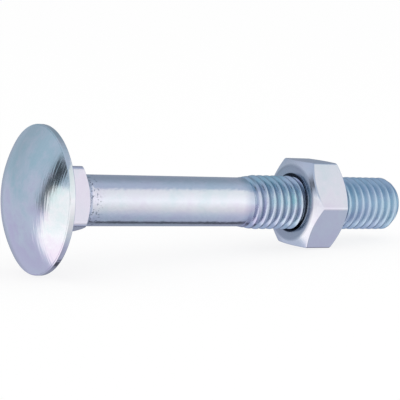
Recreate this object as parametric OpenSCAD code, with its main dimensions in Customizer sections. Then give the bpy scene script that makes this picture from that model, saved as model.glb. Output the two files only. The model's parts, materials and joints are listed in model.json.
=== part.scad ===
// Carriage bolt with its hexagon nut, lying on its side as it comes to rest:
// the rim of the head and one flat of the nut touch the floor at z = 0.
// Millimetres, +X from the head to the tail, +Z up, origin under the middle.

/* [Head] */
// Diameter of the mushroom head
head_d = 20.65; // [18:0.05:24]
// Height of the head, from its flat underside to the top of the dome
head_h = 4.25; // [3.4:0.05:5.4]
// Height of the rim, from the flat underside to the edge of the dome
rim_h = 0.95; // [0.7:0.05:1.2]
// Radius that rounds both edges of the rim
rim_round = 0.2; // [0.1:0.05:0.3]

/* [Square neck] */
// Side of the square neck
neck_side = 8.4; // [7.8:0.1:9.4]
// Length of the neck, from the underside of the head
neck_len = 5.4; // [3.5:0.1:7]
// Radius of the four long edges of the neck
neck_round = 0.7; // [0.3:0.05:1]
// Angle between the neck's end and the bevel that takes its corners off
neck_bevel = 27; // [15:1:40]
// Width of the flat ledge left at the neck's end, outside the taper
neck_ledge = 0.1; // [0.05:0.05:0.3]
// Length of the taper that leads from the neck down to the shank
neck_taper = 0.8; // [0.3:0.1:1.5]
// Turn of the neck about the bolt's axis, against the flats of the nut
neck_turn = -15; // [-45:1:45]

/* [Shank and thread] */
// Length of the bolt, from the underside of the head to its tail
bolt_len = 60; // [56:1:80]
// Diameter of the plain shank, which is left at the size of the blank
shank_d = 7.2; // [6.6:0.05:7.6]
// Outer diameter of the rolled thread
thread_d = 8; // [7.7:0.05:8.4]
// Pitch of the thread
pitch = 1.25; // [1:0.05:1.5]
// Length of the full thread, measured back from the tail
thread_len = 25.3; // [22:0.1:29]
// Length over which the thread runs out into the shank
run_out = 2.6; // [1:0.1:3]
// Diameter of the flat end at the tail
tail_d = 6.3; // [5.8:0.1:6.8]
// Length of the taper that leads the nut on at the tail
tail_taper = 1.1; // [0.6:0.1:1.6]

/* [Nut] */
// Width across the flats of the nut
nut_flats = 12.8; // [12.7:0.05:14]
// Diameter over the nut's corners, which the press leaves slightly blunt
nut_corner_d = 14.5; // [14:0.05:14.6]
// Height of the nut
nut_h = 6.15; // [5:0.05:7]
// Distance from the underside of the head to the nut
nut_at = 41.7; // [38:0.05:44]
// Diameter of the round bearing face left inside the chamfer
nut_face_d = 11.6; // [11:0.1:11.9]
// Angle between a face of the nut and its chamfer
nut_chamfer = 30; // [20:1:35]
// Gap between the thread and the bore of the nut, all round
thread_gap = 0.06; // [0.02:0.01:0.1]
// Diameter of the countersink in each face of the nut
sink_d = 9; // [8.6:0.1:9.4]
// Angle between a face of the nut and its countersink
sink_angle = 30; // [20:1:45]

/* [Hidden] */
$fn = 96;
// How far a shape runs past the face that it cuts, or into the piece that it joins
past = 0.5;
// Zinc plate with a pale blue passivation
zinc = [0.78, 0.81, 0.86];

// The dome is one sphere that meets the rim's round edge without a step
head_r = head_d / 2;
round_r = head_r - rim_round;
dome_rise = head_h - rim_h + rim_round;
dome_r = (pow(dome_rise, 2) + pow(round_r, 2) - pow(rim_round, 2)) / (2 * (dome_rise - rim_round));
dome_at = head_h - dome_r;
dome_edge = round_r * dome_r / (dome_r - rim_round);

// Half width of the neck, where the full thread begins and where its last crest stands
neck_r = neck_side / 2;
thread_at = bolt_len - thread_len;
last_crest = bolt_len - tail_taper - pitch / 8;

// Groove of a metric thread: flanks at 60 degrees, an eighth of a pitch left flat at each crest
// and a sixth of a pitch at the root, at the depth of a rolled thread's round root
thread_r = thread_d / 2;
flank_angle = 30;
root_w = pitch / 6;
root_r = thread_r - (pitch * 7 / 8 - root_w) / 2 / tan(flank_angle);

// A flat of the nut ends short of the nut's face by what the chamfer takes off
flat_end = nut_at + nut_h - (nut_flats - nut_face_d) / 2 * tan(nut_chamfer);

// Tilt at which the rim's round edge and the end of the flat touch the floor
drop = round_r - nut_flats / 2;
reach = flat_end + rim_round;
tilt = acos(-rim_round / norm([drop, reach])) - atan2(reach, drop);
axis_height = round_r * cos(tilt) - rim_round * sin(tilt) + rim_round;

// The ends of the tilted bolt lie as far from the origin on either side
head_end = -dome_at * cos(tilt) - dome_r;
tail_end = bolt_len * cos(tilt) + tail_d / 2 * sin(tilt);
middle = (head_end + tail_end) / 2;

// Stands a shape built along the bolt's own axis on the floor
module lying() {
    translate([-middle, 0, axis_height])
        rotate([0, 90 + tilt, 0])
            children();
}

// Half section of the head, underside on the X axis and dome upwards
module head_section() {
    round_at = rim_h - rim_round;
    intersection() {
        translate([0, dome_at]) circle(dome_r);
        square([dome_edge, head_h]);
    }
    square([round_r, round_at]);
    translate([0, rim_round]) square([head_r, round_at - rim_round]);
    for (h = [rim_round, round_at])
        translate([round_r, h]) circle(rim_round);
}

// Mushroom head above the bearing plane, which is z = 0 here
module head() {
    rotate([180, 0, 0])
        rotate_extrude()
            head_section();
}

// Square with rounded corners, as the neck is in section
module neck_section() {
    side = neck_side - 2 * neck_round;
    square([neck_side, side], center = true);
    square([side, neck_side], center = true);
    for (x = [-1, 1], y = [-1, 1])
        translate([x * side / 2, y * side / 2]) circle(neck_round);
}

// Square neck, with its corners bevelled towards the shank
module neck() {
    slope = (neck_side - neck_r) * tan(neck_bevel);
    intersection() {
        rotate([0, 0, neck_turn])
            translate([0, 0, -past])
                linear_extrude(neck_len + past)
                    neck_section();
        rotate_extrude()
            polygon([
                [0, -past], [neck_side, -past], [neck_side, neck_len - slope],
                [neck_r, neck_len], [0, neck_len]
            ]);
    }
}

// Section of one groove, down to a given radius and as wide as its flanks make it
module groove_section(root) {
    top_r = thread_r + past;
    wide = root_w / 2 + (top_r - root) * tan(flank_angle);
    polygon([[root, -root_w / 2], [top_r, -wide], [top_r, wide], [root, root_w / 2]]);
}

// Turned core: taper under the neck, plain shank, run-out, thread and tail. The grooves are
// rings of the thread's pitch, depth and angle, and get shallower along the run-out
module stem() {
    shank_r = shank_d / 2;
    grooves = ceil((last_crest - thread_at + run_out) / pitch);
    rotate_extrude()
        difference() {
            polygon([
                [0, -past], [neck_r - neck_ledge, -past], [neck_r - neck_ledge, neck_len],
                [shank_r, neck_len + neck_taper], [shank_r, thread_at - run_out],
                [thread_r, thread_at], [thread_r, bolt_len - tail_taper],
                [tail_d / 2, bolt_len], [0, bolt_len]
            ]);
            for (i = [0 : grooves]) {
                at = last_crest + (0.5 - i) * pitch;
                fade = min(1, max(0, (thread_at - at) / run_out));
                if (fade < 1)
                    translate([0, at]) groove_section(root_r + (shank_r - root_r) * fade);
            }
        }
}

// Turned outline that blunts the nut's corners and chamfers both of its ends
module nut_turned() {
    face_r = nut_face_d / 2;
    wide = nut_corner_d / 2;
    slope = (wide - face_r) * tan(nut_chamfer);
    rotate_extrude()
        polygon([
            [0, 0], [face_r, 0], [wide, slope],
            [wide, nut_h - slope], [face_r, nut_h], [0, nut_h]
        ]);
}

// Bore and the countersinks that lead into it from both faces
module nut_bore() {
    bore_d = thread_d + 2 * thread_gap;
    sink = (sink_d - bore_d) / 2 * tan(sink_angle);
    translate([0, 0, -past]) cylinder(d = bore_d, h = nut_h + 2 * past);
    cylinder(d1 = sink_d, d2 = bore_d, h = sink);
    translate([0, 0, nut_h - sink]) cylinder(d1 = bore_d, d2 = sink_d, h = sink);
}

module bolt() {
    color(zinc) lying() {
        head();
        neck();
        stem();
    }
}

module nut() {
    color(zinc) lying() {
        translate([0, 0, nut_at])
            difference() {
                intersection() {
                    linear_extrude(nut_h) rotate([0, 0, 30]) circle(d = nut_flats / cos(30), $fn = 6);
                    nut_turned();
                }
                nut_bore();
            }
    }
}

bolt();
nut();
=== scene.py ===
# Carriage bolt with its hexagon nut, lying on its side on a pale floor.
# Both pieces are cold formed steel with a thin bright zinc plating, passivated pale blue.
import json
import math

import bmesh
import bpy
from mathutils import Matrix, Vector


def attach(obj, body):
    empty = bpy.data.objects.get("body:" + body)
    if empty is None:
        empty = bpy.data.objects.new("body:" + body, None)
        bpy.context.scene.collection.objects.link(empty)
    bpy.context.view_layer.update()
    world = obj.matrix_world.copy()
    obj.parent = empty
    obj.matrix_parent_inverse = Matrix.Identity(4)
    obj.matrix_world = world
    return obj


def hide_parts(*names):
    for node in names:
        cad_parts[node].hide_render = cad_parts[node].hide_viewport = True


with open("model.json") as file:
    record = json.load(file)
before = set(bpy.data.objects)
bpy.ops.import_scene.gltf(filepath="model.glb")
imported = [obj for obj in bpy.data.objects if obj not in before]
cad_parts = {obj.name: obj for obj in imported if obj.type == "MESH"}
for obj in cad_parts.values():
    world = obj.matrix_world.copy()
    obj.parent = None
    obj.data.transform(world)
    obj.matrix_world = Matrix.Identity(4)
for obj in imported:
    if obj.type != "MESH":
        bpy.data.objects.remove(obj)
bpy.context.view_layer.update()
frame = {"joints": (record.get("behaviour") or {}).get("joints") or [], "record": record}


# How the bolt lies
# It rests on the rim of its head and on one flat of the nut, so its axis dips towards the tail.
# Everything turned, rolled or pressed is drawn in millimetres along that axis, from the flat
# underside of the head, with x towards the tail and z up, and one matrix puts it in place.
MM = 0.001
bolt_len = 60.0
mounts = {mount["name"]: Vector(mount["pos_m"]) for mount in frame["record"]["mounts"]}
bolt_axis = Vector(frame["joints"][0]["axis"]).normalized()
level_axis = Vector((0, 1, 0))
upper_axis = bolt_axis.cross(level_axis)
underside = mounts["tail_end"] - bolt_axis * bolt_len * MM
bolt_dip = math.asin(-bolt_axis.z)
placing = (
    Matrix.Translation(underside)
    @ Matrix((bolt_axis, level_axis, upper_axis)).transposed().to_4x4()
    @ Matrix.Scale(MM, 4)
)


# Camera
# A long lens a little above the floor looks along the bolt from the side of its head.
# The angles and the distance come from fitting the outline of the real bolt.
camera_data = bpy.data.cameras.new("long_lens")
camera_data.sensor_width = 36.0
camera_data.lens = 142.9
camera = bpy.data.objects.new("long_lens", camera_data)
bpy.context.collection.objects.link(camera)
camera_place = Vector((-0.12262, -0.1931, 0.04182))
camera_azimuth = math.radians(31.913)
camera_dip = math.radians(8.36)
camera_roll = math.radians(0.336)
camera.matrix_world = (
    Matrix.Translation(camera_place)
    @ Matrix.Rotation(-camera_azimuth, 4, "Z")
    @ Matrix.Rotation(math.pi / 2 - camera_dip, 4, "X")
    @ Matrix.Rotation(camera_roll, 4, "Z")
)
bpy.context.scene.camera = camera
bpy.context.scene.view_settings.view_transform = "Standard"


# Floor
# A wide sheet of white card, which keeps the soft shadow of the bolt. The card and the world
# behind it are white to the camera and to rays that a shiny surface reflects or refracts, but
# reflections meet the tent of the next section first.
def linear(hex_colour):
    """Turns an sRGB hex colour into the linear colour that a shader takes."""
    parts = [int(hex_colour[i : i + 2], 16) / 255 for i in (1, 3, 5)]
    return [p / 12.92 if p <= 0.04045 else ((p + 0.055) / 1.055) ** 2.4 for p in parts] + [1.0]


def node(tree, kind, inputs=(), **settings):
    """Adds a node with its settings, and fills its inputs from values or from other sockets."""
    made = tree.nodes.new(kind)
    for name, value in settings.items():
        setattr(made, name, value)
    for key, value in dict(inputs).items():
        if isinstance(value, bpy.types.NodeSocket):
            tree.links.new(value, made.inputs[key])
        else:
            made.inputs[key].default_value = value
    return made


def mesh_object(name, mesh):
    """Puts a mesh into the scene as an object."""
    made = bpy.data.objects.new(name, mesh)
    bpy.context.collection.objects.link(made)
    return made


def seen_directly(tree):
    """1 for rays from the camera and for rays that a shiny surface reflects or refracts."""
    rays = node(tree, "ShaderNodeLightPath").outputs
    shiny = {0: rays["Is Glossy Ray"], 1: rays["Is Transmission Ray"]}
    shiny = node(tree, "ShaderNodeMath", shiny, operation="MAXIMUM").outputs[0]
    direct = {0: rays["Is Camera Ray"], 1: shiny}
    return node(tree, "ShaderNodeMath", direct, operation="MAXIMUM").outputs[0]


white = "#FFFFFF"
room_level = 0.95
wall_level = 1.0
world = bpy.data.worlds.new("white_studio")
bpy.context.scene.world = world
world.use_nodes = True
sky = world.node_tree
sky.nodes.clear()
room = node(sky, "ShaderNodeBackground", {"Color": linear(white), "Strength": room_level})
wall = node(sky, "ShaderNodeBackground", {"Color": linear(white), "Strength": wall_level})
sky_mix = node(
    sky, "ShaderNodeMixShader", {0: seen_directly(sky), 1: room.outputs[0], 2: wall.outputs[0]}
)
node(sky, "ShaderNodeOutputWorld", {"Surface": sky_mix.outputs[0]})

floor_radius = 6.0
glow_share = 0.8
bm = bmesh.new()
bmesh.ops.create_circle(bm, cap_ends=True, segments=96, radius=floor_radius)
floor_mesh = bpy.data.meshes.new("floor")
bm.to_mesh(floor_mesh)
bm.free()
floor = mesh_object("floor", floor_mesh)
floor_card = bpy.data.materials.new("white_card")
floor_card.use_nodes = True
card = floor_card.node_tree
card.nodes.clear()
matt = node(card, "ShaderNodeBsdfDiffuse", {"Color": linear(white)})
glow = node(card, "ShaderNodeEmission", {"Color": linear(white), "Strength": 1.0})
lifted = node(card, "ShaderNodeMixShader", {0: glow_share, 1: matt.outputs[0], 2: glow.outputs[0]})
card_mix = node(
    card, "ShaderNodeMixShader", {0: seen_directly(card), 1: matt.outputs[0], 2: lifted.outputs[0]}
)
node(card, "ShaderNodeOutputMaterial", {"Surface": card_mix.outputs[0]})
floor_mesh.materials.append(floor_card)


# Tent
# Bright metal shows only what stands round it, so a photographer puts it in a tent: white cloth
# in front, grey-blue paper behind and above, a dark gap between them beside the head, another
# under the tail, and a hole for the lens. Reflections see the tent, and the camera sees past it.
# Directions are in degrees, azimuth from straight in front towards the tail and height above
# level. A level of 1 is plain white, and a pair is where a change starts and where it ends.
cloth_front = 1.10
cloth_fade_up = 0.0055
cloth_fade_down = 0.0095
brightest_height = 3
cloth_side = 1.08
cloth_side_low = 0.10
paper_head_side = 0.58
paper_head_low = 0.07
paper_head_back = 0.13
paper_tail_side = 0.54
paper_tail_away = 0.20
paper_tail_back = 0.14
dim_cloth = (0.45, 0.85)
paper_red_loss = 0.12
paper_blue_gain = 0.22
cloth_blue = 1.02


def eased(value, change):
    """0 before the change, 1 after it, and a smooth rise between."""
    start, end = change
    share = min(1.0, max(0.0, (value - start) / (end - start)))
    return share * share * (3 - 2 * share)


def cloth_level(azimuth, height):
    """Level of the white cloth. In front it is brightest just above level, and at the side of
    the head it is brightest below."""
    front = cloth_front - cloth_fade_up * max(0, height - brightest_height)
    front -= cloth_fade_down * max(0, brightest_height - height)
    side = cloth_side + cloth_side_low * eased(-height, (6, 24))
    side_to_front = eased(azimuth, (-80, 10))
    return side + (front - side) * side_to_front


def paper_level(azimuth, height):
    """Level of the paper, which is lighter below on the head's side and darkens towards the back,
    most of all on the tail's side."""
    below = eased(-height, (0, 20)) * (1 - eased(-azimuth, (110, 140)))
    behind = eased(-azimuth, (125, 180)) * eased(height, (-10, 15))
    head_side = paper_head_side + paper_head_low * below
    head_side -= paper_head_back * behind
    tail_side = paper_tail_side - paper_tail_away * eased(azimuth, (70, 140))
    tail_side += paper_tail_back * eased(azimuth, (150, 180))
    head_to_tail = eased(azimuth, (-60, 20))
    return head_side + (tail_side - head_side) * head_to_tail


def cloth_share(azimuth, height):
    """1 where the tent is cloth, 0 where it is paper, and a soft edge between. The left edge goes
    further round below, and the top edge rises towards the front."""
    low = eased(-height, (0, 28))
    left_edge = -105 - 18 * low
    left_blur = 3 + 3 * low
    cloth = eased(azimuth, (left_edge - left_blur, left_edge + left_blur))
    cloth *= 1 - eased(azimuth, (62, 112))
    top_edge = 14 + 31 * eased(azimuth, (-95, 15))
    return cloth * (1 - eased(height, (top_edge - 1, top_edge + 2)))


def open_share(azimuth, height):
    """Share of its light that the tent keeps: less in its two gaps and in the hole for the lens."""
    side_middle = -110 + 12 * eased(height, (-2, 26)) - 3 * eased(height, (30, 42))
    side_width = 4.2 + 4.3 * eased(height, (2, 26))
    side_gap = 1 - eased(abs(azimuth - side_middle), (side_width - 3, side_width + 3))
    side_gap *= eased(height, (-10, 0)) * (1 - eased(height, (30, 41)))
    side_depth = 0.72 + 0.17 * eased(height, (0, 22))

    under_middle = 122
    under_gap = (1 - eased(abs(azimuth - under_middle), (7, 17))) * eased(-height, (34, 48))
    under_depth = 0.75

    lens_azimuth = -32
    lens_height = 8
    lens_hole = 1 - eased(math.hypot(azimuth - lens_azimuth, height - lens_height), (6, 9))
    lens_depth = 0.8

    kept = 1 - side_depth * side_gap
    kept *= 1 - under_depth * under_gap
    return kept * (1 - lens_depth * lens_hole)


def tent_light(azimuth, height):
    """Linear colour of the tent: its level, bluer where it is paper or where the cloth is dim."""
    cloth = cloth_share(azimuth, height)
    level = paper_level(azimuth, height)
    level += (cloth_level(azimuth, height) - level) * cloth
    blue = 1 - cloth * eased(level, dim_cloth)
    level *= open_share(azimuth, height)
    return level * (1 - paper_red_loss * blue), level, level * (cloth_blue + paper_blue_gain * blue), 1.0


tent_step = 1.0
tent_reach = 4.0
tent_turns = round(360 / tent_step)
tent_rises = round(180 / tent_step)
bm = bmesh.new()
paint = bm.verts.layers.float_color.new("cloth")
rows = []
for i in range(tent_rises + 1):
    height = -90 + tent_step * i
    rows.append([])
    for j in range(tent_turns):
        azimuth = -180 + tent_step * j
        flat_reach = tent_reach * math.cos(math.radians(height))
        vert = bm.verts.new((
            flat_reach * math.sin(math.radians(azimuth)),
            -flat_reach * math.cos(math.radians(azimuth)),
            tent_reach * math.sin(math.radians(height)),
        ))
        vert[paint] = tent_light(azimuth, height)
        rows[-1].append(vert)
for low_row, high_row in zip(rows, rows[1:]):
    for j in range(tent_turns):
        k = (j + 1) % tent_turns
        bm.faces.new((low_row[j], low_row[k], high_row[k], high_row[j]))
tent_mesh = bpy.data.meshes.new("tent")
bm.to_mesh(tent_mesh)
bm.free()
tent = mesh_object("tent", tent_mesh)
tent_cloth = bpy.data.materials.new("tent_cloth")
tent_cloth.use_nodes = True
cloth_tree = tent_cloth.node_tree
cloth_tree.nodes.clear()
painted = node(cloth_tree, "ShaderNodeAttribute", attribute_name="cloth")
shine = node(cloth_tree, "ShaderNodeEmission", {"Color": painted.outputs["Color"], "Strength": 1.0})
node(cloth_tree, "ShaderNodeOutputMaterial", {"Surface": shine.outputs[0]})
tent_mesh.materials.append(tent_cloth)
tent.visible_camera = False
tent.visible_diffuse = False
tent.visible_shadow = False
tent.visible_transmission = False

# The lower half of the tent stands in for the floor in reflections.
floor.visible_glossy = False


# Key lamp
# One soft box in front and above throws the bolt's faint shadow backwards on the floor.
# Reflections see the tent's cloth in its place.
key_azimuth = math.radians(32)
key_height = math.radians(35)
key_reach = 0.60
key_data = bpy.data.lights.new("key_soft_box", "AREA")
key_data.shape = "SQUARE"
key_data.size = 0.35
key_data.energy = 0.42
key_lamp = bpy.data.objects.new("key_soft_box", key_data)
bpy.context.collection.objects.link(key_lamp)
key_lamp.visible_glossy = False
away = Vector((
    math.cos(key_height) * math.sin(key_azimuth),
    -math.cos(key_height) * math.cos(key_azimuth),
    math.sin(key_height),
))
key_turn = away.to_track_quat("Z", "Y").to_matrix().to_4x4()
key_lamp.matrix_world = Matrix.Translation(away * key_reach) @ key_turn


# Bolt
# One piece of steel wire: the mushroom head and the square neck are struck in a die, the neck's
# corners are taken off by its cone, and the thread is rolled on the blank, which stays thinner
# than the thread.
thread_d = 8.0
thread_len = 25.3
run_out = 2.6
thread_start = bolt_len - thread_len - run_out
tail_taper = 1.1
tail_d = 6.3
tail_edge = 0.1
tail_slope = 0.8
tail_edge_r = tail_d / 2 + tail_edge * tail_slope
shank_d = 7.2

# The thread of the bolt and the one in the nut come from one tree: a strip of mesh wound along
# a helix, whose radius follows the 60 degree flanks and is held between two limits that close
# in at both ends. Each line of the list below is one step of sums on the sizes and on the place.
thread_sizes = {
    "Pitch": 1.25,
    "Crest Radius": thread_d / 2,
    "Root Radius": 3.3,
    "Crest Width": 0.28,
    "Rounding": 0.16,
    "Crest Place": 0.60,
    "Start": 0.0,
    "End": 1.0,
    "Start Radius": 3.6,
    "End Radius": 3.6,
    "Start Length": 1.0,
    "End Length": 1.0,
    "Root Length": 1.0,
}
thread_counts = {"Rows per Turn": 20, "Columns": 120}
seam_reach = 0.0004
winding = bpy.data.node_groups.new("wound_thread", "GeometryNodeTree")
inputs = winding.interface
for name, value in thread_sizes.items():
    inputs.new_socket(name=name, in_out="INPUT", socket_type="NodeSocketFloat").default_value = value
for name, value in thread_counts.items():
    inputs.new_socket(name=name, in_out="INPUT", socket_type="NodeSocketInt").default_value = value
inputs.new_socket(name="Plating", in_out="INPUT", socket_type="NodeSocketMaterial")
inputs.new_socket(name="Geometry", in_out="OUTPUT", socket_type="NodeSocketGeometry")
given = node(winding, "NodeGroupInput").outputs
strip_place = node(winding, "GeometryNodeInputPosition").outputs[0]
strip_place = node(winding, "ShaderNodeSeparateXYZ", {0: strip_place}).outputs
found = {name: given[name] for name in (*thread_sizes, *thread_counts)}
found.update({"Strip X": strip_place["X"], "Strip Y": strip_place["Y"]})
flank_slope = 1 / math.tan(math.radians(30))
for name, operation, *terms in (
    ("start past crest", "SUBTRACT", "Start", "Crest Place"),
    ("start turns", "DIVIDE", "start past crest", "Pitch"),
    ("whole start turns", "FLOOR", "start turns"),
    ("first turn", "SUBTRACT", "whole start turns", 1.0),
    ("end past crest", "SUBTRACT", "End", "Crest Place"),
    ("end turns", "DIVIDE", "end past crest", "Pitch"),
    ("last turn", "CEIL", "end turns"),
    ("turns", "SUBTRACT", "last turn", "first turn"),
    ("rows", "MULTIPLY_ADD", "turns", "Rows per Turn", 1.0),
    ("columns", "ADD", "Columns", 1.0),
    ("strip middle", "MULTIPLY_ADD", "turns", 0.5, "first turn"),
    ("turn", "ADD", "Strip X", "strip middle"),
    ("around", "ADD", "Strip Y", 0.5),
    ("angle", "MULTIPLY", "around", 2 * math.pi),
    ("level share", "COSINE", "angle"),
    ("upper share", "SINE", "angle"),
    ("wound turn", "ADD", "turn", "around"),
    ("wound x", "MULTIPLY_ADD", "wound turn", "Pitch", "Crest Place"),
    ("x after start", "MAXIMUM", "wound x", "Start"),
    ("x", "MINIMUM", "x after start", "End"),
    ("turns from crest", "PINGPONG", "turn", 0.5),
    ("half crest", "MULTIPLY", "Crest Width", -0.5),
    ("past crest", "MULTIPLY_ADD", "turns from crest", "Pitch", "half crest"),
    ("flank", "MULTIPLY_ADD", "past crest", -flank_slope, "Crest Radius"),
    ("crested", "SMOOTH_MIN", "flank", "Crest Radius", "Rounding"),
    ("rolled", "SMOOTH_MAX", "crested", "Root Radius", "Rounding"),
    ("past start", "SUBTRACT", "x", "Start"),
    ("before end", "SUBTRACT", "End", "x"),
    ("start share", "DIVIDE", "past start", "Start Length"),
    ("root share", "DIVIDE", "past start", "Root Length"),
    ("end share", "DIVIDE", "before end", "End Length"),
    ("start share held", "MINIMUM", "start share", 1.0),
    ("root share held", "MINIMUM", "root share", 1.0),
    ("end share held", "MINIMUM", "end share", 1.0),
    ("crest over start", "SUBTRACT", "Crest Radius", "Start Radius"),
    ("crest over end", "SUBTRACT", "Crest Radius", "End Radius"),
    ("root over start", "SUBTRACT", "Root Radius", "Start Radius"),
    ("root over end", "SUBTRACT", "Root Radius", "End Radius"),
    ("crest at start", "MULTIPLY_ADD", "start share held", "crest over start", "Start Radius"),
    ("crest at end", "MULTIPLY_ADD", "end share held", "crest over end", "End Radius"),
    ("root at start", "MULTIPLY_ADD", "root share held", "root over start", "Start Radius"),
    ("root at end", "MULTIPLY_ADD", "end share held", "root over end", "End Radius"),
    ("both crests", "ADD", "crest at start", "crest at end"),
    ("crest limit", "SUBTRACT", "both crests", "Crest Radius"),
    ("both roots", "ADD", "root at start", "root at end"),
    ("root limit", "SUBTRACT", "both roots", "Root Radius"),
    ("rolled up", "MAXIMUM", "rolled", "root limit"),
    ("radius", "MINIMUM", "rolled up", "crest limit"),
    ("y", "MULTIPLY", "radius", "level share"),
    ("z", "MULTIPLY", "radius", "upper share"),
):
    terms = {i: found.get(term, term) for i, term in enumerate(terms)}
    found[name] = node(winding, "ShaderNodeMath", terms, operation=operation).outputs[0]
strip = node(winding, "GeometryNodeMeshGrid", {
    "Size X": found["turns"],
    "Size Y": 1.0,
    "Vertices X": found["rows"],
    "Vertices Y": found["columns"],
}).outputs["Mesh"]
wound_place = {"X": found["x"], "Y": found["y"], "Z": found["z"]}
wound_place = node(winding, "ShaderNodeCombineXYZ", wound_place).outputs[0]
wound = {"Geometry": strip, "Position": wound_place}
wound = node(winding, "GeometryNodeSetPosition", wound).outputs[0]
welded = {"Geometry": wound, "Distance": seam_reach}
welded = node(winding, "GeometryNodeMergeByDistance", welded).outputs[0]
real = node(winding, "GeometryNodeRealizeInstances", {"Geometry": welded}).outputs[0]
plated = {"Geometry": real, "Material": given["Plating"]}
plated = node(winding, "GeometryNodeSetMaterial", plated).outputs[0]
node(winding, "NodeGroupOutput", {"Geometry": plated})


def wound_thread(sizes):
    """The thread of these sizes as a plain mesh in millimetres, open at both ends."""
    carrier = mesh_object("thread_blank", bpy.data.meshes.new("thread_blank"))
    modifier = carrier.modifiers.new("winding", "NODES")
    modifier.node_group = winding
    for item in winding.interface.items_tree:
        if item.in_out == "INPUT" and item.name in sizes:
            modifier[item.identifier] = sizes[item.name]
    evaluated = carrier.evaluated_get(bpy.context.evaluated_depsgraph_get())
    mesh = bpy.data.meshes.new_from_object(evaluated)
    bpy.data.objects.remove(carrier)
    return mesh


# Bright electroplated zinc with a pale blue passivation film: satin metal, cooler than steel.
# The film is under a tenth of a micron thick, so its tint drifts in clouds about 5 mm wide, from
# teal on top to rose below. The metal is wavy at about 0.6 mm. The polish marks of the head are
# drawn about three to a millimetre, coarser than the real ones, so that they show.
# Lengths, heights and depths are in millimetres, and the scale of a noise is per millimetre.
cloud_scale = 0.2
film_drift = -0.022
film_tints = ((0.28, "#C4F2EC"), (0.72, "#F8DDF6"), (0.5, "#FFFFFF"))
wave_scale = 1.6
wave_height = 0.03
gloss_spread = 0.15
mark_scale = (0.0, 3.2, 0.25)
mark_height = 0.022
pit_scale = 2.6
pit_levels = (0.57, 0.68)
pit_fades = (0.2, 1.6)
pit_depth = 0.04
pit_colour = "#6F7B8D"
hollow_fade = 0.3
hollow_roughness = 0.2


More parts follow.
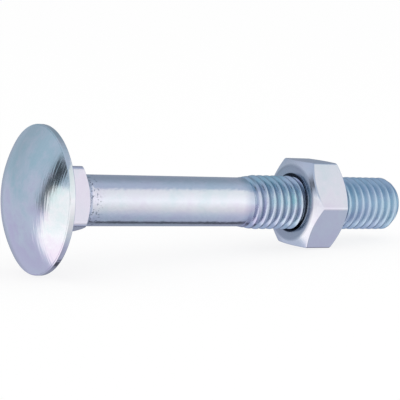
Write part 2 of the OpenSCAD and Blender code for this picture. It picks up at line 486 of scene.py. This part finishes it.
def plating(name, stops, hollow_radii, hollow_places, hollow_shade_colour, mark_end, pit_places):
    """Plating with a colour, a roughness, a strength of the film's tint and a waviness at each
    stop along the bolt. At the bottom of a hollow, between two radii and two places, it takes a
    darker colour, a painted shade, and a rougher finish. It has polish marks before one place and
    pits between two places."""
    made = bpy.data.materials.new(name)
    made.use_nodes = True
    tree = made.node_tree
    tree.nodes.clear()
    spot = node(tree, "ShaderNodeTexCoord").outputs["Object"]
    local = node(
        tree, "ShaderNodeMapping",
        {"Vector": spot, "Location": underside, "Rotation": (0, bolt_dip, 0), "Scale": (MM, MM, MM)},
        vector_type="TEXTURE",
    ).outputs[0]
    place = node(tree, "ShaderNodeSeparateXYZ", {0: local}).outputs
    across = {0: local, 1: (0, 1, 1)}
    across = {0: node(tree, "ShaderNodeVectorMath", across, operation="MULTIPLY").outputs[0]}
    radius = node(tree, "ShaderNodeVectorMath", across, operation="LENGTH").outputs["Value"]

    first, last = stops[0][0], stops[-1][0]
    along = {"Value": place["X"], "From Min": first, "From Max": last}
    along = node(tree, "ShaderNodeMapRange", along).outputs[0]
    shade = node(tree, "ShaderNodeValToRGB", {"Fac": along})
    polish = node(tree, "ShaderNodeValToRGB", {"Fac": along})
    for x, colour, *finish in stops:
        for ramp, value in ((shade, linear(colour)), (polish, (*finish, 1.0))):
            elements = ramp.color_ramp.elements
            end = {first: 0, last: -1}.get(x)
            stop = elements.new((x - first) / (last - first)) if end is None else elements[end]
            stop.color = value
    finish = node(tree, "ShaderNodeSeparateColor", {0: polish.outputs[0]}).outputs
    roughness, film_strength, waviness = finish["Red"], finish["Green"], finish["Blue"]

    cloud = {"Vector": local, "Scale": cloud_scale, "Detail": 4.0, "Roughness": 0.65}
    cloud = node(tree, "ShaderNodeTexNoise", cloud).outputs[0]
    drift = {0: place["Z"], 1: film_drift, 2: cloud}
    drift = node(tree, "ShaderNodeMath", drift, operation="MULTIPLY_ADD").outputs[0]
    film = node(tree, "ShaderNodeValToRGB", {"Fac": drift})
    tints = film.color_ramp.elements
    for i, (position, tint) in enumerate(film_tints):
        stop = tints[i] if i < 2 else tints.new(position)
        stop.position = position
        stop.color = linear(tint)
    tinted = {0: film_strength, 6: shade.outputs[0], 7: film.outputs[0]}
    tinted = node(
        tree, "ShaderNodeMix", tinted, data_type="RGBA", blend_type="MULTIPLY"
    ).outputs[2]

    low_r, high_r = hollow_radii
    hollow_start, hollow_end = hollow_places
    below = {"Value": radius, "From Min": high_r, "From Max": low_r}
    below = node(tree, "ShaderNodeMapRange", below, interpolation_type="SMOOTHSTEP").outputs[0]
    after = {
        "Value": place["X"],
        "From Min": hollow_start - hollow_fade,
        "From Max": hollow_start + hollow_fade,
    }
    after = node(tree, "ShaderNodeMapRange", after).outputs[0]
    before = {"Value": place["X"], "From Min": hollow_end, "From Max": hollow_end - 0.05}
    before = node(tree, "ShaderNodeMapRange", before).outputs[0]
    inside = node(tree, "ShaderNodeMath", {0: after, 1: before}, operation="MULTIPLY").outputs[0]
    inside = node(tree, "ShaderNodeMath", {0: below, 1: inside}, operation="MULTIPLY").outputs[0]
    # Painted shade: the bottom of the hollow is mixed towards a darker colour.
    hollow_shaded = {0: inside, 6: tinted, 7: linear(hollow_shade_colour)}
    hollow_shaded = node(tree, "ShaderNodeMix", hollow_shaded, data_type="RGBA").outputs[2]

    pit_start, pit_end = pit_places
    fade_in, fade_out = pit_fades
    pitted = node(tree, "ShaderNodeTexNoise", {"Vector": local, "Scale": pit_scale, "Detail": 2.0})
    pitted = {"Value": pitted.outputs[0], "From Min": pit_levels[0], "From Max": pit_levels[1]}
    pitted = node(tree, "ShaderNodeMapRange", pitted).outputs[0]
    for start, full in ((pit_start, pit_start + fade_in), (pit_end, pit_end - fade_out)):
        zone = {"Value": place["X"], "From Min": start, "From Max": full}
        zone = {0: pitted, 1: node(tree, "ShaderNodeMapRange", zone).outputs[0]}
        pitted = node(tree, "ShaderNodeMath", zone, operation="MULTIPLY").outputs[0]
    colour = {0: pitted, 6: hollow_shaded, 7: linear(pit_colour)}
    colour = node(tree, "ShaderNodeMix", colour, data_type="RGBA").outputs[2]

    grain = {"Vector": local, "Scale": wave_scale, "Detail": 4.0}
    grain = node(tree, "ShaderNodeTexNoise", grain).outputs[0]
    streaks = {0: local, 1: mark_scale}
    streaks = node(tree, "ShaderNodeVectorMath", streaks, operation="MULTIPLY").outputs[0]
    streaks = {"Vector": streaks, "Scale": 1.0, "Detail": 2.0, "Roughness": 0.5}
    streaks = node(tree, "ShaderNodeTexNoise", streaks).outputs[0]
    marked = {
        "Value": place["X"],
        "From Min": mark_end + 0.1,
        "From Max": mark_end,
        "To Max": mark_height,
    }
    marked = node(tree, "ShaderNodeMapRange", marked).outputs[0]
    marks = node(tree, "ShaderNodeMath", {0: streaks, 1: marked}, operation="MULTIPLY").outputs[0]
    waves = {0: waviness, 1: wave_height}
    waves = node(tree, "ShaderNodeMath", waves, operation="MULTIPLY").outputs[0]
    surface = {0: grain, 1: waves, 2: marks}
    surface = node(tree, "ShaderNodeMath", surface, operation="MULTIPLY_ADD").outputs[0]
    surface = {0: pitted, 1: -pit_depth, 2: surface}
    surface = node(tree, "ShaderNodeMath", surface, operation="MULTIPLY_ADD").outputs[0]
    bump = node(tree, "ShaderNodeBump", {"Height": surface, "Strength": 1.0, "Distance": MM})

    gloss = {
        "Value": grain,
        "From Min": 0.3,
        "From Max": 0.7,
        "To Min": 1 - gloss_spread,
        "To Max": 1 + gloss_spread,
    }
    gloss = {0: node(tree, "ShaderNodeMapRange", gloss).outputs[0], 1: roughness}
    gloss = node(tree, "ShaderNodeMath", gloss, operation="MULTIPLY").outputs[0]
    gloss = {0: inside, 1: hollow_roughness, 2: gloss}
    gloss = node(tree, "ShaderNodeMath", gloss, operation="MULTIPLY_ADD").outputs[0]
    metal = node(tree, "ShaderNodeBsdfPrincipled", {
        "Base Color": colour, "Metallic": 1.0, "Roughness": gloss, "Normal": bump.outputs[0]
    })
    node(tree, "ShaderNodeOutputMaterial", {"Surface": metal.outputs[0]})
    return made


columns = thread_counts["Columns"]
column_turns = [2 * math.pi * j / columns for j in range(columns)]
hold = 0.012


def turned(x, radius, turn):
    """The point at this place along the bolt, this far from its axis and this far round it."""
    return Vector((x, radius * math.cos(turn), radius * math.sin(turn)))


def rounded(corners, cuts, steps=4):
    """A line through these corners, with each inner corner drawn as a curve from cut to cut.
    A point held close on each side keeps the flat faces beside the curve shading flat."""
    line = [corners[0]]
    for before, corner, after, cut in zip(corners, corners[1:], corners[2:], cuts):
        if cut == 0:
            line.append(corner)
            continue
        start = corner + (before - corner).normalized() * cut
        end = corner + (after - corner).normalized() * cut
        line.append(start + (before - corner).normalized() * hold)
        for i in range(steps + 1):
            t = i / steps
            line.append(start * (1 - t) ** 2 + corner * 2 * t * (1 - t) + end * t ** 2)
        line.append(end + (after - corner).normalized() * hold)
    line.append(corners[-1])
    return line


def skinned(bm, lines, cap_start=None, cap_end=None):
    """Skins neighbouring lines with faces, and closes the ends to a point on the axis if given."""
    grid = [[bm.verts.new(point) for point in line] for line in lines]
    for here, there in zip(grid, grid[1:] + grid[:1]):
        for i in range(len(here) - 1):
            bm.faces.new((here[i], here[i + 1], there[i + 1], there[i]))
    for tip, end in ((cap_start, 0), (cap_end, -1)):
        if tip is None:
            continue
        point = bm.verts.new(tip)
        for here, there in zip(grid, grid[1:] + grid[:1]):
            bm.faces.new((point, here[end], there[end]) if end == 0 else (here[end], point, there[end]))


def outline_point(m, flat, bend, half_flats, corner_round, half_angle):
    """Distance out and along a flat at column m from its middle, where the last columns of
    each side bend round the corner."""
    reach = (half_flats - corner_round) * math.tan(half_angle)
    if abs(m) == flat:
        return half_flats, math.copysign(reach, m)
    if abs(m) < flat:
        return half_flats, (reach - 2 * hold) * m / (flat - 1)
    lean = half_angle * (abs(m) - flat) / bend
    out = half_flats - corner_round + corner_round * math.cos(lean)
    return out, math.copysign(reach + corner_round * math.sin(lean), m)


head_d = 20.65
head_h = 4.25
rim_h = 0.95
rim_round = 0.2
round_r = head_d / 2 - rim_round
dome_rise = head_h - rim_h + rim_round
dome_r = (dome_rise ** 2 + round_r ** 2 - rim_round ** 2) / (2 * (dome_rise - rim_round))
dome_lean = math.asin(round_r / (dome_r - rim_round))
dome_rings = 44
rim_steps = 5

# A fine forging groove runs round the edge of the dome. Its sides and its bottom are at these
# shares of the way from the top of the dome to the rim.
groove_start = 0.99
groove_bottom = (0.994, 0.997)
groove_depth = 0.06
dome_line = []
for k in range(1, dome_rings + 1):
    lean = dome_lean * groove_start * k / dome_rings
    dome_line.append((dome_r - head_h - dome_r * math.cos(lean), dome_r * math.sin(lean)))
for share in (*groove_bottom, 1.0):
    lean = dome_lean * share
    radius = dome_r - groove_depth if share in groove_bottom else dome_r
    dome_line.append((dome_r - head_h - radius * math.cos(lean), radius * math.sin(lean)))
for k in range(1, rim_steps + 1):
    lean = dome_lean + (math.pi / 2 - dome_lean) * k / rim_steps
    dome_line.append((rim_round - rim_h - rim_round * math.cos(lean), round_r + rim_round * math.sin(lean)))
for k in range(rim_steps + 1):
    lean = math.pi / 2 * k / rim_steps
    dome_line.append((-rim_round + rim_round * math.sin(lean), round_r + rim_round * math.cos(lean)))

neck_side = 8.4
neck_len = 5.4
neck_round = 0.7
neck_bevel = math.radians(27)
neck_taper = 0.8
neck_ledge = 0.1
neck_turn_columns = -5
side_columns = columns // 4
neck_bend = 4
neck_cuts = [0.25, 0.12, 0.04, 0.35]
shank_from = neck_len + 2 * neck_taper
shank_rings = 12
dish_depth = 0.2
dish = ((0.02, 2.2), (0.18, 1.2), (dish_depth, 0.3))
tail_cuts = [0.09, 0.3, 0.3]
bolt_lines = []
tail_lines = []
for j, turn in enumerate(column_turns):
    side, m = divmod(j - neck_turn_columns + side_columns // 2, side_columns)
    m -= side_columns // 2
    out, off = outline_point(
        m, side_columns // 2 - neck_bend, neck_bend, neck_side / 2, neck_round, math.pi / 4
    )
    neck_r = math.hypot(out, off)
    neck_turn = (side * side_columns + neck_turn_columns) * 2 * math.pi / columns + math.atan2(off, out)
    bevel_x = neck_len - max(0.0, neck_r - neck_side / 2) * math.tan(neck_bevel)
    head_line = [turned(x, r, turn) for x, r in dome_line]
    neck_line = rounded(
        [
            head_line[-1],
            turned(0, neck_r, neck_turn),
            turned(bevel_x, neck_r, neck_turn),
            turned(neck_len, neck_side / 2 - neck_ledge, turn),
            turned(neck_len + neck_taper, shank_d / 2, turn),
            turned(shank_from, shank_d / 2, turn),
        ],
        neck_cuts,
    )
    shank_line = [
        turned(shank_from + (thread_start - shank_from) * k / shank_rings, shank_d / 2, turn)
        for k in range(1, shank_rings + 1)
    ]
    bolt_lines.append(head_line + neck_line[1:] + shank_line)
    tail_lines.append(rounded(
        [
            turned(bolt_len - tail_edge, tail_edge_r, turn),
            turned(bolt_len, tail_d / 2, turn),
            *(turned(bolt_len - depth, radius, turn) for depth, radius in dish),
        ],
        tail_cuts,
    ))

bolt_plating = plating(
    "blue_zinc_on_bolt",
    [
        (-5.0, "#E8E9EC", 0.12, 0.7, 0.1),
        (-0.1, "#E8E9EC", 0.14, 0.4, 0.1),
        (0.1, "#E0DCE8", 0.23, 0.2, 0.1),
        (neck_len - 0.2, "#E0DCE8", 0.23, 0.2, 0.1),
        (neck_len + 0.2, "#E0E4EC", 0.17, 0.3, 1.0),
        (thread_start - 1.1, "#E8EBF2", 0.15, 0.3, 1.0),
        (thread_start + 0.3, "#C8D4E1", 0.22, 0.7, 0.3),
        (42.0, "#C8D6E4", 0.23, 0.7, 0.3),
        (49.0, "#BDD2E2", 0.36, 0.3, 0.2),
        (bolt_len, "#BDD2E2", 0.36, 0.3, 0.2),
    ],
    # The roots of the thread are painted darker, a painted shade between the flanks.
    hollow_radii=(3.2, 3.7),
    hollow_places=(thread_start + 1.3, 46.0),
    hollow_shade_colour="#8C9EB4",
    mark_end=-0.2,
    pit_places=(neck_len - 0.1, 8.0),
)
bolt_thread = wound_thread({
    "Start": thread_start,
    "End": bolt_len - tail_edge,
    "Start Radius": shank_d / 2,
    "End Radius": tail_edge_r,
    "Start Length": run_out,
    "End Length": tail_taper - tail_edge,
    "Root Length": 1.2,
    "Plating": bolt_plating,
})


weld_reach = 0.0005
crisp_angle = math.radians(35)


def finished(name, bm, thread, material):
    """Welds a thread to the mesh it belongs to, puts both in place and returns the piece."""
    bm.from_mesh(thread)
    bmesh.ops.remove_doubles(bm, verts=bm.verts, dist=weld_reach)
    bmesh.ops.recalc_face_normals(bm, faces=bm.faces)
    bm.transform(placing)
    for face in bm.faces:
        face.material_index = 0
        face.smooth = True
    mesh = bpy.data.meshes.new(name)
    bm.to_mesh(mesh)
    bm.free()
    mesh.materials.append(material)
    mesh.set_sharp_from_angle(angle=crisp_angle)
    return mesh_object(name, mesh)


bm = bmesh.new()
skinned(bm, bolt_lines, cap_start=(-head_h, 0, 0))
skinned(bm, tail_lines, cap_end=(bolt_len - dish_depth, 0, 0))
carriage_bolt = finished("carriage_bolt", bm, bolt_thread, bolt_plating)
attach(carriage_bolt, "bolt")
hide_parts("bolt")


# Nut
# A cold formed hexagon nut: both ends are chamfered round, which leaves a curved edge on every
# flat, both faces are countersunk and the thread is tapped to fit the bolt's with a little play.
# Its faces stand a little proud of the solids' faces, which draws the chamfers further in.
nut_flats = 12.8
nut_h = 6.15
nut_face_d = 11.6
nut_crown = 0.19
nut_chamfer = math.radians(30)
sink_d = 9.0
sink_angle = math.radians(30)
nut_root_r = 3.33
nut_play = 0.08
nut_at = (mounts["nut_seat"] - underside).dot(bolt_axis) / MM
corner_half = math.radians(30)
nut_corner_round = 0.5
nut_ring_r = nut_face_d / 2 - nut_crown / math.tan(nut_chamfer)
nut_cuts = [0.35, 0.16, 0.16, 0.35]
nut_columns = 132
flat_columns = nut_columns // 6
nut_bend = 3
nut_lines = []
for j in range(nut_columns):
    even_turn = 2 * math.pi * j / nut_columns
    side, m = divmod(j, flat_columns)
    m -= flat_columns // 2
    out, off = outline_point(
        m, flat_columns // 2 - nut_bend, nut_bend, nut_flats / 2, nut_corner_round, corner_half
    )
    out_r = math.hypot(out, off)
    out_turn = (side + 0.5) * math.pi / 3 + math.atan2(off, out)
    profile = [
        (-nut_crown, sink_d / 2, even_turn),
        (-nut_crown, nut_ring_r, out_turn),
        ((out_r - nut_face_d / 2) * math.tan(nut_chamfer), out_r, out_turn),
    ]
    near_end = [turned(nut_at + depth, radius, turn) for depth, radius, turn in profile]
    far_end = [turned(nut_at + nut_h - depth, radius, turn) for depth, radius, turn in profile]
    nut_lines.append(rounded(near_end + far_end[::-1], nut_cuts))

# The nut has no polish marks and no pits, so the places given for them lie before it.
nut_plating = plating(
    "blue_zinc_on_nut",
    [
        # The near face is painted darker than the rest, a painted shade, and the chamfer just past it
        # lighter, a painted highlight.
        (nut_at - 0.3, "#B4BAC2", 0.22, 0.2, 0.1),
        (nut_at - 0.14, "#B4BAC2", 0.22, 0.2, 0.1),
        (nut_at + 0.06, "#E8E9ED", 0.20, 0.2, 0.1),
        (nut_at + 0.9, "#E2E3EC", 0.20, 0.3, 0.2),
        (nut_at + nut_h + 0.2, "#E2E3EC", 0.20, 0.3, 0.2),
    ],
    # Inside the rim of each countersink, the countersink's wall and the tapped thread are painted near
    # black, a painted shade.
    hollow_radii=(sink_d / 2 - 0.15, sink_d / 2),
    hollow_places=(nut_at - 1, nut_at + nut_h + 1),
    hollow_shade_colour="#25303E",
    mark_end=nut_at - 1,
    pit_places=(nut_at - 9, nut_at - 8),
)
sink_length = (sink_d / 2 - nut_root_r) * math.tan(sink_angle)
nut_thread = wound_thread({
    "Crest Radius": thread_d / 2 + nut_play,
    "Root Radius": nut_root_r,
    "Crest Width": 0.26,
    "Start": nut_at - nut_crown,
    "End": nut_at + nut_h + nut_crown,
    "Start Radius": sink_d / 2,
    "End Radius": sink_d / 2,
    "Start Length": sink_length,
    "End Length": sink_length,
    "Root Length": sink_length,
    "Columns": nut_columns,
    "Plating": nut_plating,
})
bm = bmesh.new()
skinned(bm, nut_lines)
hexagon_nut = finished("hexagon_nut", bm, nut_thread, nut_plating)
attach(hexagon_nut, "nut")
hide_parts("nut")
